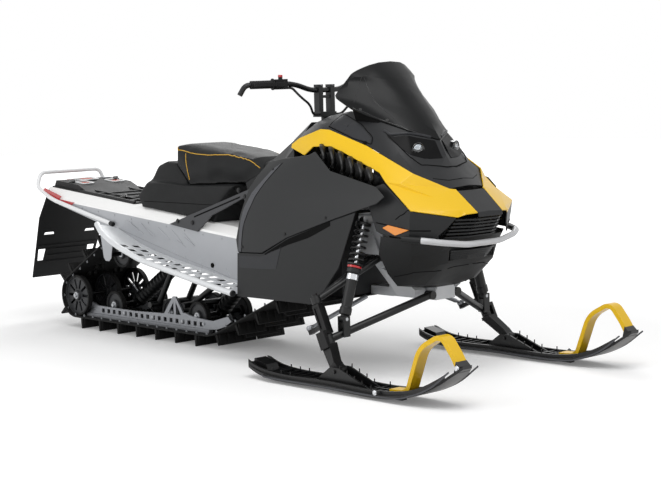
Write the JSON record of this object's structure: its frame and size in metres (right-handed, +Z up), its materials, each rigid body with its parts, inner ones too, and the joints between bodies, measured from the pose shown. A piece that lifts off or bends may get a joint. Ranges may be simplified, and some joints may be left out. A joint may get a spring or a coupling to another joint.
{
  "type": "snowmobile",
  "caption": "Snowmobile: two steered skis on double-wishbone arms, long lugged track on slide rails, tunnel with cargo deck, seat, windshield, handlebar and faceted body panels.",
  "frame": {"origin": "on the ground under the middle of the machine's length and width", "axes": "+X forwards, +Y to the rider's left, +Z up"},
  "size_m": [3.216, 1.156, 1.244],
  "materials": {
    "track_rubber": "matt black moulded rubber",
    "bare_aluminium": "satin aluminium",
    "black_plastic": "grained black plastic",
    "black_paint": "satin black paint",
    "grey_paint": "light grey paint",
    "red_lens": "glossy red lens",
    "seat_cover": "grained black cover",
    "dark_metal": "dark grey paint",
    "charcoal_plastic": "charcoal plastic",
    "cast_engine": "plain casting",
    "black_gloss": "satin black plastic",
    "yellow_paint": "glossy yellow plastic",
    "amber_lens": "amber reflector",
    "lamp_glass": "clear lamp lens",
    "dark_shield": "dark tinted shield",
    "cast_grey": "cast grey metal",
    "yellow_plastic": "yellow moulded plastic",
    "grip_rubber": "black rubber"
  },
  "bodies": {
    "chassis": {"track": "track_rubber", "slide_rails": "bare_aluminium", "idler_wheels": "black_plastic", "rear_suspension": "black_paint", "drive_axle": "black_plastic", "tunnel": "grey_paint", "running_boards": "bare_aluminium", "rear_bumper": "grey_paint", "cargo_deck": "black_plastic", "snow_flap": "black_plastic", "tail_lamps": "red_lens", "seat_cushion": "seat_cover", "seat_base": "black_plastic", "console": "black_plastic", "frame_struts": "dark_metal", "side_panels": "charcoal_plastic", "lower_panels": "charcoal_plastic", "belly_pan": "charcoal_plastic", "engine": "cast_engine", "hood": "black_gloss", "hood_stripes": "yellow_paint", "nose_panel": "black_gloss", "front_cowls": "charcoal_plastic", "grilles": "black_plastic", "side_reflectors": "amber_lens", "vent_louvres": "black_plastic", "headlights": "lamp_glass", "windshield": "dark_shield", "front_bumper": "grey_paint", "bulkhead": "cast_grey", "lower_arms": "black_paint", "upper_arms": "black_paint", "front_shocks": "black_paint"},
    "steering": {"steering_post": "black_paint", "handlebar": "black_paint", "controls": "grip_rubber", "hoses": "grip_rubber"},
    "knuckle_right": {"spindle_right": "dark_metal"},
    "knuckle_left": {"spindle_left": "dark_metal"},
    "track_rod_right": {"tie_rod_right": "bare_aluminium"},
    "track_rod_left": {"tie_rod_left": "bare_aluminium"},
    "ski_body_right": {"ski_right": "black_plastic", "ski_loop_right": "yellow_plastic"},
    "ski_body_left": {"ski_left": "black_plastic", "ski_loop_left": "yellow_plastic"}
  },
  "joints": [
    {"name": "handlebar_steer", "type": "hinge", "parent": "chassis", "child": "steering", "pos_m": [0.396, 0, 0.96], "axis": [0, 0, 1], "range_deg": [-35, 35]},
    {"name": "ski_steer_right", "type": "hinge", "parent": "chassis", "child": "knuckle_right", "pos_m": [0.87, -0.462, 0.178], "axis": [-0.4147, 0, 0.91], "range_deg": [-29, 29]},
    {"name": "ski_steer_left", "type": "hinge", "parent": "chassis", "child": "knuckle_left", "pos_m": [0.87, 0.462, 0.178], "axis": [-0.4147, 0, 0.91], "range_deg": [-29, 29]},
    {"name": "tie_rod_end_right", "type": "hinge", "parent": "knuckle_right", "child": "track_rod_right", "pos_m": [0.74624, -0.444, 0.20842], "axis": [-0.4147, 0, 0.91], "range_deg": [-29, 29]},
    {"name": "tie_rod_end_left", "type": "hinge", "parent": "knuckle_left", "child": "track_rod_left", "pos_m": [0.74624, 0.444, 0.20842], "axis": [-0.4147, 0, 0.91], "range_deg": [-29, 29]},
    {"name": "ski_pitch_right", "type": "hinge", "parent": "knuckle_right", "child": "ski_body_right", "pos_m": [0.966, -0.5, 0.072], "axis": [0, 1, 0], "range_deg": [-14, 10], "stiffness_Nm_per_rad": 60},
    {"name": "ski_pitch_left", "type": "hinge", "parent": "knuckle_left", "child": "ski_body_left", "pos_m": [0.966, 0.5, 0.072], "axis": [0, 1, 0], "range_deg": [-14, 10], "stiffness_Nm_per_rad": 60}
  ],
  "couplings": [
    {"joint": "ski_steer_right", "follows": "handlebar_steer", "ratio": 0.8},
    {"joint": "ski_steer_left", "follows": "handlebar_steer", "ratio": 0.8},
    {"joint": "tie_rod_end_right", "follows": "handlebar_steer", "ratio": -0.8},
    {"joint": "tie_rod_end_left", "follows": "handlebar_steer", "ratio": -0.8}
  ]
}
